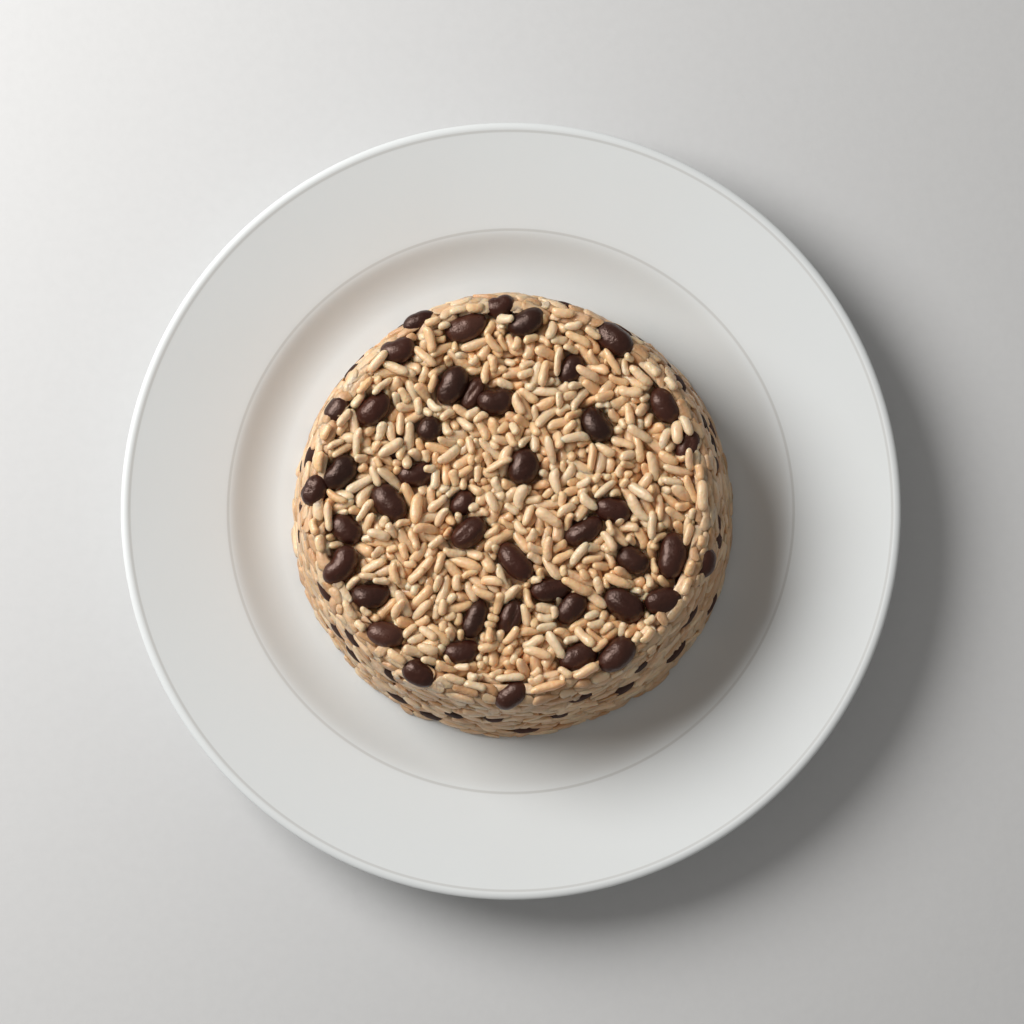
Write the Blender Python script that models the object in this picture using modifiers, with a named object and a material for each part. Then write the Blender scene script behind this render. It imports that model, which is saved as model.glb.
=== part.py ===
"""A moulded mound of rice and black beans on a round rimmed dinner plate.

Units are metres and +Z is up. The plate stands on the ground plane and its
axis is the Z axis. The mound is one solid out to its uneven outline.
"""

import math

import bmesh
import bpy
from mathutils import Vector, noise

OBJECT_NAME = "rice_and_beans_plate"

# Plate
PLATE_RADIUS = 0.130  # to the outside of the rolled edge
EDGE_RADIUS = 0.00155  # of the rolled edge's round section
EDGE_CENTRE_HEIGHT = 0.02530
GROOVE_RADIUS = 0.12695  # the fine groove just inside the rolled edge
GROOVE_DEPTH = 0.0003
RIM_INNER_RADIUS = 0.0949  # where the broad rim meets the wall of the well
RIM_INNER_HEIGHT = 0.0159
RIM_OUTER_HEIGHT = 0.0256
RIM_SAG = 0.0002  # how far the rim's middle lies below a straight line across it
WELL_RADIUS = 0.0785  # of the flat floor of the well
WELL_HEIGHT = 0.0096
BODY_THICKNESS = 0.0042
FOOT_OUTER_RADIUS = 0.0760
FOOT_INNER_RADIUS = 0.0700
FOOT_ROUNDING = 0.0008
FOOT_RECESS = 0.0042  # how far the underside lies above the ground
PLATE_STEPS = 88
EDGE_POINTS = 8
WALL_POINTS = 6

# Mound
SEAT_GAP = 0.0003  # between the well's floor and the mound
MOUND_BASE_RADIUS = 0.0750
MOUND_TOP_RADIUS = 0.0668  # of the side's line carried up to the top face
MOUND_HEIGHT = 0.0420
MOUND_PLACE = Vector((0.0007, -0.0019))  # of the base's middle from the plate's axis
MOUND_LEAN = Vector((-0.0011, 0.0024))  # of the top's middle from the base's
SHOULDER = 0.0060  # rounding between the side and the top face
TOP_SAG = 0.0012  # how far the top's outer part lies below its middle
TOP_LUMPS = 0.0011  # half height of the bean-sized lumps on the top face
TOP_SWELL = 0.0009  # half height of the broad unevenness of the top face
SIDE_LUMPS = 0.0004
OUTLINE_SWELL = 0.0011
BASE_RAGGED = 0.0011  # unevenness of the bottom edge
LUMP_SIZE = 0.0105
SWELL_SIZE = 0.0400
GRID_CELLS = 28  # across the top face; its edge has four times as many
SIDE_ROWS = 9
SHOULDER_ROWS = 4

PORCELAIN = (0.80, 0.81, 0.80, 1.0)
COOKED_RICE = (0.42, 0.24, 0.12, 1.0)


def clear_scene():
    for obj in list(bpy.data.objects):
        bpy.data.objects.remove(obj, do_unlink=True)


def new_collection(name):
    collection = bpy.data.collections.new(name)
    bpy.context.scene.collection.children.link(collection)
    return collection


def principled(name, colour, roughness, coat=0.0):
    material = bpy.data.materials.new(name)
    material.use_nodes = True
    shader = material.node_tree.nodes["Principled BSDF"]
    shader.inputs["Base Color"].default_value = colour
    shader.inputs["Roughness"].default_value = roughness
    shader.inputs["Coat Weight"].default_value = coat
    material.diffuse_color = colour
    return material


def add_object(name, mesh, material, collection):
    mesh.materials.append(material)
    for polygon in mesh.polygons:
        polygon.use_smooth = True
    obj = bpy.data.objects.new(name, mesh)
    collection.objects.link(obj)
    return obj


def arc(centre_x, centre_z, radius, start, end, points):
    """Points on an arc in the XZ plane, from start to end degrees."""
    made = []
    for index in range(points):
        angle = math.radians(start + (end - start) * index / (points - 1))
        made.append((centre_x + radius * math.cos(angle), centre_z + radius * math.sin(angle)))
    return made


def eased_wall(inner, outer, points):
    """A wall that curves up between two (radius, height) ends, without its first point."""
    made = []
    for index in range(1, points + 1):
        share = index / points
        rise = 1.204 * share**2 - 0.204 * share**8
        radius = inner[0] + (outer[0] - inner[0]) * share
        made.append((radius, inner[1] + (outer[1] - inner[1]) * rise))
    return made


def plate_profile():
    """The plate's half section, from the axis over the top, round the edge and back below."""
    edge_x = PLATE_RADIUS - EDGE_RADIUS
    under_edge = RIM_OUTER_HEIGHT - BODY_THICKNESS
    profile = [(0.0, WELL_HEIGHT), (WELL_RADIUS * 0.5, WELL_HEIGHT), (WELL_RADIUS, WELL_HEIGHT)]
    profile += eased_wall((WELL_RADIUS, WELL_HEIGHT), (RIM_INNER_RADIUS, RIM_INNER_HEIGHT), WALL_POINTS)
    profile.append((RIM_INNER_RADIUS + 0.0012, RIM_INNER_HEIGHT + 0.0005))
    middle_height = (RIM_INNER_HEIGHT + RIM_OUTER_HEIGHT) / 2.0 - RIM_SAG
    profile.append(((RIM_INNER_RADIUS + GROOVE_RADIUS) / 2.0, middle_height))
    profile.append((GROOVE_RADIUS - 0.0006, RIM_OUTER_HEIGHT))
    profile.append((GROOVE_RADIUS, RIM_OUTER_HEIGHT - GROOVE_DEPTH))
    profile += arc(edge_x, EDGE_CENTRE_HEIGHT, EDGE_RADIUS, 150, -70, EDGE_POINTS)
    profile.append((edge_x - 0.0040, under_edge + 0.0006))
    profile.append((RIM_INNER_RADIUS + 0.0030, RIM_INNER_HEIGHT - BODY_THICKNESS))
    profile.append((WELL_RADIUS + 0.0055, WELL_HEIGHT - BODY_THICKNESS + 0.0010))
    profile.append((FOOT_OUTER_RADIUS + 0.0012, FOOT_RECESS * 0.8))
    profile.append((FOOT_OUTER_RADIUS, FOOT_ROUNDING))
    profile.append((FOOT_OUTER_RADIUS - FOOT_ROUNDING, 0.0))
    profile.append((FOOT_INNER_RADIUS + FOOT_ROUNDING, 0.0))
    profile.append((FOOT_INNER_RADIUS, FOOT_ROUNDING))
    profile.append((FOOT_INNER_RADIUS - 0.0008, FOOT_RECESS))
    profile.append((0.0, FOOT_RECESS))
    return profile


def build_plate(collection):
    profile = plate_profile()
    mesh = bpy.data.meshes.new("plate")
    edges = [(index, index + 1) for index in range(len(profile) - 1)]
    mesh.from_pydata([(x, 0.0, z) for x, z in profile], edges, [])
    porcelain = principled("white_porcelain", PORCELAIN, 0.18, coat=0.4)
    plate = add_object("plate", mesh, porcelain, collection)
    turned = plate.modifiers.new("Turned", "SCREW")
    turned.steps = PLATE_STEPS
    turned.render_steps = PLATE_STEPS
    turned.use_merge_vertices = True
    turned.merge_threshold = 0.00005
    turned.use_smooth_shade = True
    return plate


def unevenness(place, size, seed):
    """Smooth noise from -1 to 1 whose lumps are about size across."""
    return noise.noise(place / size + Vector((seed, seed * 0.37, seed * 1.71))) * 1.6


def square_to_disc(u, v):
    """A point of the square from -1 to 1 moved to the unit disc, evenly spread."""
    return u * math.sqrt(1.0 - v * v / 2.0), v * math.sqrt(1.0 - u * u / 2.0)


def outline_radius(angle):
    """The mound's uneven outline, as a share added to every radius at this angle."""
    ring = Vector((math.cos(angle), math.sin(angle), 0.0)) * MOUND_BASE_RADIUS
    return unevenness(ring, SWELL_SIZE, 3.0) * OUTLINE_SWELL


def side_radius(rise):
    """The side's radius at a share of the height, before its unevenness."""
    return MOUND_BASE_RADIUS + (MOUND_TOP_RADIUS - MOUND_BASE_RADIUS) * rise


def top_point(u, v):
    """A point of the rough top face: flat in the middle, a little lower towards its edge."""
    x, y = square_to_disc(u, v)
    reach = math.hypot(x, y)
    angle = math.atan2(y, x)
    radius = (side_radius(1.0) + outline_radius(angle) - SHOULDER) * reach
    place = Vector((radius * math.cos(angle), radius * math.sin(angle), 0.0))
    height = MOUND_HEIGHT - TOP_SAG * reach**3
    height += unevenness(place, LUMP_SIZE, 11.0) * TOP_LUMPS
    height += unevenness(place, SWELL_SIZE, 5.0) * TOP_SWELL
    middle = MOUND_PLACE + MOUND_LEAN
    return place + Vector((middle.x, middle.y, WELL_HEIGHT + SEAT_GAP + height))


def side_point(angle, rise):
    """A point of the pressed side, at a share of its height below the shoulder."""
    height = (MOUND_HEIGHT - TOP_SAG - SHOULDER) * rise
    share = height / MOUND_HEIGHT
    radius = side_radius(share) + outline_radius(angle)
    place = Vector((math.cos(angle), math.sin(angle), 0.0)) * radius + Vector((0.0, 0.0, height))
    radius += unevenness(place, LUMP_SIZE, 23.0) * SIDE_LUMPS
    radius += unevenness(place, LUMP_SIZE, 31.0) * BASE_RAGGED * (1.0 - rise) ** 3
    middle = MOUND_PLACE + MOUND_LEAN * share
    across = Vector((math.cos(angle), math.sin(angle), 0.0)) * radius
    return across + Vector((middle.x, middle.y, WELL_HEIGHT + SEAT_GAP + height))


def shoulder_point(low, high, turn):
    """A point on the rounded shoulder between the side's last point and the top's edge."""
    side_share = 1.0 - math.sin(turn * math.pi / 2.0)
    top_share = 1.0 - math.cos(turn * math.pi / 2.0)
    across = low.xy * (1.0 - top_share) + high.xy * top_share
    height = low.z * side_share + high.z * (1.0 - side_share)
    return Vector((across.x, across.y, height))


def edge_cells():
    """The grid places round the edge of the top face, counter-clockwise from a corner."""
    last = GRID_CELLS
    cells = [(column, 0) for column in range(last)]
    cells += [(last, row) for row in range(last)]
    cells += [(last - column, last) for column in range(last)]
    cells += [(0, last - row) for row in range(last)]
    return cells


def build_mound(collection):
    shape = bmesh.new()
    top = {}
    for row in range(GRID_CELLS + 1):
        for column in range(GRID_CELLS + 1):
            u = 2.0 * column / GRID_CELLS - 1.0
            v = 2.0 * row / GRID_CELLS - 1.0
            top[column, row] = shape.verts.new(top_point(u, v))
    for row in range(GRID_CELLS):
        for column in range(GRID_CELLS):
            corners = ((column, row), (column + 1, row), (column + 1, row + 1), (column, row + 1))
            shape.faces.new([top[corner] for corner in corners])

    ring = [top[cell] for cell in edge_cells()]
    centre = MOUND_PLACE + MOUND_LEAN
    angles = [math.atan2(vert.co.y - centre.y, vert.co.x - centre.x) for vert in ring]
    upper = [vert.co.copy() for vert in ring]
    lower = [side_point(angle, 1.0) for angle in angles]
    rows = []
    for step in range(1, SHOULDER_ROWS):
        turn = 1.0 - step / SHOULDER_ROWS
        rows.append([shoulder_point(low, high, turn) for low, high in zip(lower, upper)])
    rows.append(lower)
    for step in range(1, SIDE_ROWS + 1):
        rows.append([side_point(angle, 1.0 - step / SIDE_ROWS) for angle in angles])

    for points in rows:
        below = [shape.verts.new(point) for point in points]
        for index, vert in enumerate(below):
            shape.faces.new((ring[index - 1], below[index - 1], vert, ring[index]))
        ring = below
    shape.faces.new(list(reversed(ring)))
    bmesh.ops.recalc_face_normals(shape, faces=shape.faces[:])

    mesh = bpy.data.meshes.new("rice_and_beans")
    shape.to_mesh(mesh)
    shape.free()
    rice = principled("cooked_rice_and_beans", COOKED_RICE, 0.55)
    return add_object("rice_and_beans", mesh, rice, collection)


def main():
    clear_scene()
    collection = new_collection(OBJECT_NAME)
    build_plate(collection)
    build_mound(collection)


main()
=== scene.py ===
import math

import bpy
import numpy as np
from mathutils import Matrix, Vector


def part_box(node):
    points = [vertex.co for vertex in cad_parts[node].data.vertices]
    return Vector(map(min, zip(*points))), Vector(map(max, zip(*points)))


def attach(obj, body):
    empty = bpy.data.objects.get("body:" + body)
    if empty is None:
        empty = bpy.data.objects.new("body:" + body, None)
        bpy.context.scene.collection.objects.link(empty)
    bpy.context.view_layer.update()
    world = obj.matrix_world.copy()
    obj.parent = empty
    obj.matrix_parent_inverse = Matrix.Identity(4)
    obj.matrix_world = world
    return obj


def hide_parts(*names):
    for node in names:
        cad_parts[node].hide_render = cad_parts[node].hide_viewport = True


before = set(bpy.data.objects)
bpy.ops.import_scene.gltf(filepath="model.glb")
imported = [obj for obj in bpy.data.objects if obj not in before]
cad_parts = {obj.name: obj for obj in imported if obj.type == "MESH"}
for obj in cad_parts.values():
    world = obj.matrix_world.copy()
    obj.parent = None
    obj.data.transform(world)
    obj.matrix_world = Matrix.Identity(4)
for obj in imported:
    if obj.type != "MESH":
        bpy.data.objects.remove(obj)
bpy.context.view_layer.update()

plateLow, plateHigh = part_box("plate")
moundLow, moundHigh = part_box("rice_and_beans")

mm = 0.001  # everything is worked out in millimetres and scaled at the end


class Wire:
    # an output socket that can be used in ordinary sums
    def __init__(self, finish, socket):
        self.finish = finish
        self.socket = socket

    def sum(self, operation, first, second=None, clamp=False):
        sockets = {0: first} if second is None else {0: first, 1: second}
        return self.finish.add("ShaderNodeMath", {"operation": operation, "use_clamp": clamp}, sockets)

    def __add__(self, other):
        return self.sum("ADD", self, other)

    def __radd__(self, other):
        return self.sum("ADD", other, self)

    def __sub__(self, other):
        return self.sum("SUBTRACT", self, other)

    def __rsub__(self, other):
        return self.sum("SUBTRACT", other, self)

    def __mul__(self, other):
        return self.sum("MULTIPLY", self, other)

    def distanceFrom(self, middle):
        return self.sum("ABSOLUTE", self - middle)

    def clamped(self):
        return self.sum("ADD", self, 0.0, clamp=True)


class Finish:
    # a material under construction, with its Principled shader ready
    def __init__(self, name):
        self.material = bpy.data.materials.new(name)
        self.material.use_nodes = True
        self.tree = self.material.node_tree
        self.shader = self.tree.nodes["Principled BSDF"]

    def plug(self, socket, value):
        if isinstance(value, Wire):
            self.tree.links.new(value.socket, socket)
        elif isinstance(value, (tuple, list)) and len(value) == 3 and socket.type == "RGBA":
            socket.default_value = (*value, 1.0)
        else:
            socket.default_value = value

    def add(self, kind, settings=None, sockets=None, out=0):
        node = self.tree.nodes.new(kind)
        for name, value in (settings or {}).items():
            setattr(node, name, value)
        for name, value in (sockets or {}).items():
            self.plug(node.inputs[name], value)
        return Wire(self, node.outputs[out])

    def blend(self, share, first, second):
        settings = {"data_type": "RGBA"}
        return self.add("ShaderNodeMix", settings, {0: share, 6: first, 7: second}, out=2)

    def ramp(self, value, low, high):
        # 0 below low and 1 above high, smooth between
        settings = {"interpolation_type": "SMOOTHSTEP"}
        sockets = {"Value": value, "From Min": low, "From Max": high}
        return self.add("ShaderNodeMapRange", settings, sockets)

    def noise(self, place, scale, detail=3.0, rough=0.5):
        sockets = {"Vector": place, "Scale": scale, "Detail": detail, "Roughness": rough}
        return self.add("ShaderNodeTexNoise", {}, sockets)

    def bump(self, height, strength, distance, under=None):
        sockets = {"Height": height, "Strength": strength, "Distance": distance}
        if under is not None:
            sockets["Normal"] = under
        return self.add("ShaderNodeBump", {}, sockets)

    def look(self):
        # what meshPiece stored at each point: its red, green and blue, then its alpha
        stored = {"attribute_name": "look"}
        colour = self.add("ShaderNodeAttribute", stored)
        parts = [self.add("ShaderNodeSeparateColor", {}, {0: colour}, out=part) for part in range(3)]
        return (*parts, self.add("ShaderNodeAttribute", stored, out=3))

    def set(self, **values):
        for name, value in values.items():
            self.plug(self.shader.inputs[shaderSockets[name]], value)
        return self


shaderSockets = {
    "colour": "Base Color", "roughness": "Roughness", "normal": "Normal", "coat": "Coat Weight",
    "coatRoughness": "Coat Roughness", "specular": "Specular IOR Level", "sheen": "Specular Tint",
    "soft": "Subsurface Weight", "softRadius": "Subsurface Radius", "softScale": "Subsurface Scale",
}


def meshPiece(name, points, faces, finish, looks=None):
    # points in mm; a face is four points, or three and -1; looks is one colour per point
    mesh = bpy.data.meshes.new(name)
    quads = np.asarray(faces, dtype=np.int32)
    corners = quads.reshape(-1)
    sizes = np.where(quads[:, 3] < 0, 3, 4)
    corners = corners[corners >= 0]
    starts = np.concatenate([[0], np.cumsum(sizes)[:-1]])
    mesh.vertices.add(len(points))
    mesh.vertices.foreach_set("co", (np.asarray(points, dtype=np.float32) * mm).reshape(-1))
    mesh.loops.add(len(corners))
    mesh.loops.foreach_set("vertex_index", corners.astype(np.int32))
    mesh.polygons.add(len(quads))
    mesh.polygons.foreach_set("loop_start", starts.astype(np.int32))
    mesh.polygons.foreach_set("use_smooth", np.ones(len(quads), bool))
    mesh.update(calc_edges=True)
    mesh.validate()
    if looks is not None:
        layer = mesh.attributes.new("look", "FLOAT_COLOR", "POINT")
        layer.data.foreach_set("color", np.asarray(looks, dtype=np.float32).reshape(-1))
    mesh.materials.append(finish.material)
    piece = bpy.data.objects.new(name, mesh)
    bpy.context.scene.collection.objects.link(piece)
    return piece


def ringFaces(rows, count):
    # faces of a closed body made of rings of points, then its top and its bottom middle
    around = np.arange(count)
    after = (around + 1) % count
    none = np.full(count, -1)
    last, top, bottom = (rows - 1) * count, rows * count, rows * count + 1
    faces = []
    for row in range(rows - 1):
        a, b = row * count, (row + 1) * count
        faces.append(np.stack([a + around, b + around, b + after, a + after], axis=1))
    faces.append(np.stack([np.full(count, top), around, after, none], axis=1))
    faces.append(np.stack([np.full(count, bottom), last + after, last + around, none], axis=1))
    return np.concatenate(faces)


def turned(profile, steps):
    # a closed turned body from (radius, height) points that start and end on the axis
    profile = np.asarray(profile, float)
    angles = np.arange(steps) * 2 * math.pi / steps
    inner = profile[1:-1]
    x = inner[:, 0][:, None] * np.cos(angles)
    y = inner[:, 0][:, None] * np.sin(angles)
    z = np.repeat(inner[:, 1][:, None], steps, axis=1)
    points = np.stack([x, y, z], axis=2).reshape(-1, 3)
    points = np.concatenate([points, [[0, 0, profile[0, 1]], [0, 0, profile[-1, 1]]]])
    return points, ringFaces(len(inner), steps)


def ovalNet(rings, sides):
    # faces of a closed body made of two tips and rings of points between them
    faces = []
    around = np.arange(sides)
    after = (around + 1) % sides
    for ring in range(rings - 1):
        a, b = 1 + ring * sides, 1 + (ring + 1) * sides
        faces.append(np.stack([a + around, a + after, b + after, b + around], axis=1))
    last = 1 + (rings - 1) * sides
    none = np.full(sides, -1)
    faces.append(np.stack([np.zeros(sides, int), 1 + after, 1 + around, none], axis=1))
    faces.append(np.stack([np.full(sides, last + sides), last + around, last + after, none], axis=1))
    return np.concatenate(faces)


def repeatNet(net, count, each):
    # the same faces for many bodies whose points follow one another
    shifts = (np.arange(count) * each)[:, None, None]
    return np.where(net[None] < 0, -1, net[None] + shifts).reshape(-1, 4)


wholeTurn = 6.283  # for random phases


def swell(x, y, size, seed, waves=7):
    # smooth unevenness from about -1 to 1 with lumps of about this size
    draw = np.random.default_rng(seed)
    total = 0.0
    for _ in range(waves):
        turn = draw.uniform(0, 2 * math.pi)
        pace = 2 * math.pi / (size * draw.uniform(1.4, 3.0))
        total = total + np.sin((x * math.cos(turn) + y * math.sin(turn)) * pace + draw.uniform(0, wholeTurn))
    return total / waves * 1.5


mound = {
    "floor": moundLow[2] / mm,  # where it stands in the well
    "height": 42.0,
    "baseRadius": 74.8,
    "topRadius": 66.8,
    "shoulder": 5.5,
    "middle": (0.7, -1.9),  # of its base, from the plate's axis
    "lean": (-1.1, 2.4),
    "outlineSwell": 0.9,
    "outlineLump": 30.0,  # about how long the outline's lumps are
    "topSwell": 0.8,
    "topLump": 22.0,
    "overTop": 2.0,  # how far the pressed side runs in over the top
}
wallRadius = 71.0  # the wall is unrolled at this radius
topMiddle = (mound["middle"][0] + mound["lean"][0], mound["middle"][1] + mound["lean"][1])


def wallCurve():
    # radius, height and outward normal along the mould's wall, over its shoulder and onto the top
    slope = (mound["topRadius"] - mound["baseRadius"]) / mound["height"]
    long = math.hypot(1.0, slope)
    normal = np.array([1.0, -slope]) / long
    tilt = math.atan2(normal[1], normal[0])
    curl = mound["shoulder"]
    endHeight = mound["height"] - curl + curl * math.sin(tilt)
    rows = []
    for share in np.linspace(0, 1, 40):
        z = endHeight * share
        rows.append((mound["baseRadius"] + slope * z, z, normal[0], normal[1]))
    middle = (rows[-1][0] - curl * math.cos(tilt), mound["height"] - curl)
    for turn in np.linspace(tilt, math.pi / 2, 20)[1:]:
        away, up = math.cos(turn), math.sin(turn)
        rows.append((middle[0] + curl * away, middle[1] + curl * up, away, up))
    rows.append((middle[0] - mound["overTop"], mound["height"], 0.0, 1.0))
    rows = np.array(rows)
    steps = np.hypot(np.diff(rows[:, 0]), np.diff(rows[:, 1]))
    return np.concatenate([[0], np.cumsum(steps)]), rows


curveLength, curveRows = wallCurve()
print("mould wall curve is", round(curveLength[-1], 1), "mm long")


def outline(angle):
    # how far the mound stands out here beyond its mean radius
    x = np.cos(angle) * mound["baseRadius"]
    y = np.sin(angle) * mound["baseRadius"]
    return swell(x, y, mound["outlineLump"], 5) * mound["outlineSwell"]


def onWall(places):
    # (round the wall, up the wall, out of the wall) in mm to the mound's own x, y, z
    round_, up, out = places[..., 0], places[..., 1], places[..., 2]
    angle = round_ / wallRadius
    radius = np.interp(up, curveLength, curveRows[:, 0])
    height = np.interp(up, curveLength, curveRows[:, 1])
    outward = np.interp(up, curveLength, curveRows[:, 2])
    upward = np.interp(up, curveLength, curveRows[:, 3])
    below = np.minimum(up, 0.0)
    height = height + below
    share = np.clip(height / mound["height"], 0, 1)
    reach = radius + outline(angle) * (1 - 0.3 * share) + outward * out
    x = reach * np.cos(angle) + mound["middle"][0] + mound["lean"][0] * share
    y = reach * np.sin(angle) + mound["middle"][1] + mound["lean"][1] * share
    z = mound["floor"] + height + upward * out
    return np.stack([x, y, z], axis=-1)


def topLevel(x, y):
    # the height of the mound's top face over its floor, falling away over the shoulder
    along = x - topMiddle[0]
    across = y - topMiddle[1]
    reach = np.hypot(along, across) - outline(np.arctan2(across, along)) * 0.7
    edge = np.clip((reach - (mound["topRadius"] - mound["shoulder"] + 0.9)) / mound["shoulder"], 0, 1)
    fall = mound["shoulder"] * (1 - np.sqrt(1 - edge**2))
    return mound["height"] + swell(x, y, mound["topLump"], 9) * mound["topSwell"] * (1 - edge) - fall


class Bed:
    # a height map that grains and beans are laid on one after another
    def __init__(self, long, wide, cell, wraps):
        self.cell = cell
        self.wraps = wraps
        self.shape = (int(round(long / cell)), int(round(wide / cell)))
        self.level = np.full(self.shape, -99.0)
        self.goal = np.zeros(self.shape)

    def indexOf(self, long, wide):
        i = np.floor(np.asarray(long) / self.cell).astype(int)
        j = np.floor(np.asarray(wide) / self.cell).astype(int)
        i = i % self.shape[0] if self.wraps else np.clip(i, 0, self.shape[0] - 1)
        return i, np.clip(j, 0, self.shape[1] - 1)

    def cellsUnder(self, i, j, offsetI, offsetJ):
        a = i + offsetI
        a = a % self.shape[0] if self.wraps else np.clip(a, 0, self.shape[0] - 1)
        return a, np.clip(j + offsetJ, 0, self.shape[1] - 1)

    def raiseTo(self, i, j, height, stamp):
        a, b = self.cellsUnder(i, j, stamp["i"], stamp["j"])
        np.maximum.at(self.level, (a, b), height + stamp["top"])


def axesOf(turn, pitch, roll=0.0):
    # unit vectors along, across and up through a body that is turned, pitched and rolled
    turn, pitch, roll = np.broadcast_arrays(turn, pitch, roll)
    ct, st, cp, sp = np.cos(turn), np.sin(turn), np.cos(pitch), np.sin(pitch)
    along = np.stack([cp * ct, cp * st, sp], axis=-1)
    flat = np.stack([-st, ct, np.zeros_like(st)], axis=-1)
    above = np.cross(along, flat)
    cr, sr = np.cos(roll)[..., None], np.sin(roll)[..., None]
    return along, flat * cr + above * sr, above * cr - flat * sr


def stampOf(half, turn, pitch, cell):
    # the under and upper surface of an ellipsoid, cell by cell
    axes = axesOf(turn, pitch)
    form = sum(np.outer(axis, axis) / size**2 for axis, size in zip(axes, half))
    reach = int(math.ceil(max(half) / cell)) + 1
    i, j = np.meshgrid(np.arange(-reach, reach + 1), np.arange(-reach, reach + 1), indexing="ij")
    x, y = i * cell, j * cell
    b = form[0, 2] * x + form[1, 2] * y
    c = form[0, 0] * x**2 + 2 * form[0, 1] * x * y + form[1, 1] * y**2 - 1
    inside = b**2 - form[2, 2] * c
    held = inside > 0
    root = np.sqrt(inside[held])
    return {
        "i": i[held], "j": j[held],
        "under": (-b[held] - root) / form[2, 2], "top": (-b[held] + root) / form[2, 2],
    }


grainSizes = [  # length, width, share of all grains
    (10.6, 3.2, 0.19), (9.6, 3.5, 0.20), (8.9, 3.0, 0.22), (8.0, 3.4, 0.18), (7.0, 3.0, 0.11),
    (5.4, 2.8, 0.07), (3.8, 2.6, 0.03),  # broken bits
]
turnSteps = 16
pitchSteps = np.radians([-42, -30, -20, -10, 0, 10, 20, 30, 42])


def stampSet(cell, swollen=1.0):
    # stamps for each grain size, turn and pitch, padded to one array for speed
    sets = []
    for length, width, _ in grainSizes:
        half = (length / 2 * 1.02, width / 2 * swollen, width / 2 * 0.94)
        stamps = []
        for step in range(turnSteps):
            for pitch in pitchSteps:
                stamps.append(stampOf(half, step * math.pi / turnSteps, pitch, cell))
        most = max(len(stamp["i"]) for stamp in stamps)
        shape = (len(stamps), most)
        packed = {"i": np.zeros(shape, int), "j": np.zeros(shape, int), "under": np.full(shape, 99.0)}
        for row, stamp in enumerate(stamps):
            for key in packed:
                packed[key][row, : len(stamp["i"])] = stamp[key]
        sets.append((packed, stamps))
    return sets


laying = {
    "patience": 60,  # misses in a row that end it
    "sink": (0.1, 0.35),  # how far a grain settles into those under it
    "pressedBack": 0.35,  # how much deeper than its cap a capped grain may lie
    "turnsTried": 6,
    "near": 3,  # cells around a place that say how low it is
}


def layGrains(bed, stampSets, draw, most, limit, sample, slack, lineUp=0.0, lineOf=None, tries=5,
              cap=None, places=70):
    # lays grains in the lowest of some places until the rest height passes the limit over the goal
    shares = np.array([share for _, _, share in grainSizes])
    laid = []
    misses = 0
    near = laying["near"]
    while len(laid) < most and misses < laying["patience"]:
        size = draw.choice(len(grainSizes), p=shares / shares.sum())
        packed, stamps = stampSets[size]
        long, wide = sample(draw, places)
        i, j = bed.indexOf(long, wide)
        low = bed.level[i, j] - bed.goal[i, j]
        for stepI, stepJ in ((near, 0), (-near, 0), (0, near), (0, -near)):
            a, b = bed.cellsUnder(i, j, stepI, stepJ)
            low = low + bed.level[a, b] - bed.goal[a, b]
        best = None
        for spot in np.argsort(low)[:tries]:
            turns = draw.choice(turnSteps, laying["turnsTried"], replace=False)
            rows = (turns[:, None] * len(pitchSteps) + np.arange(len(pitchSteps))).reshape(-1)
            a, b = bed.cellsUnder(i[spot], j[spot], packed["i"][rows], packed["j"][rows])
            rest = (bed.level[a, b] - packed["under"][rows]).max(axis=1)
            cost = rest - bed.goal[i[spot], j[spot]] + draw.uniform(0, slack, len(rows))
            if lineUp:
                line = lineOf(long[spot], wide[spot]) if lineOf else 0.0
                astray = np.abs(np.sin(turns * math.pi / turnSteps - line))
                cost = cost + lineUp * astray.repeat(len(pitchSteps))
            row = int(cost.argmin())
            if best is None or cost[row] < best[0]:
                best = (cost[row], spot, rows[row], rest[row])
        cost, spot, row, rest = best
        if cost > limit:
            misses += 1
            continue
        misses = 0
        goal = bed.goal[i[spot], j[spot]]
        height = rest - draw.uniform(*laying["sink"])
        if cap is not None:
            height = min(height, goal + cap - draw.uniform(0, laying["pressedBack"]))
        bed.raiseTo(i[spot], j[spot], height, stamps[row])
        length, width, _ = grainSizes[size]
        laid.append((
            (i[spot] + 0.5) * bed.cell, (j[spot] + 0.5) * bed.cell, height,
            row // len(pitchSteps) * math.pi / turnSteps, pitchSteps[row % len(pitchSteps)],
            length, width, height - goal,
        ))
    return np.array(laid).reshape(-1, 8)


grainLook = {
    "kinds": 36,
    "bend": 0.62,  # most bend, as a share of half the width
    "taper": 0.15,
    "dent": 0.22,
    "dentLength": 0.2,
    "swellLength": 0.25,
    "oval": 0.06,
    "threeSided": 0.045,
    "unevenness": 0.034,
    "stainAndShadeFrom": 1.3,  # how deep a grain lies where the brown stain and painted shade begin
    "stainAndShadeOver": 2.4,  # and over how many mm they become full
}


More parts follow.
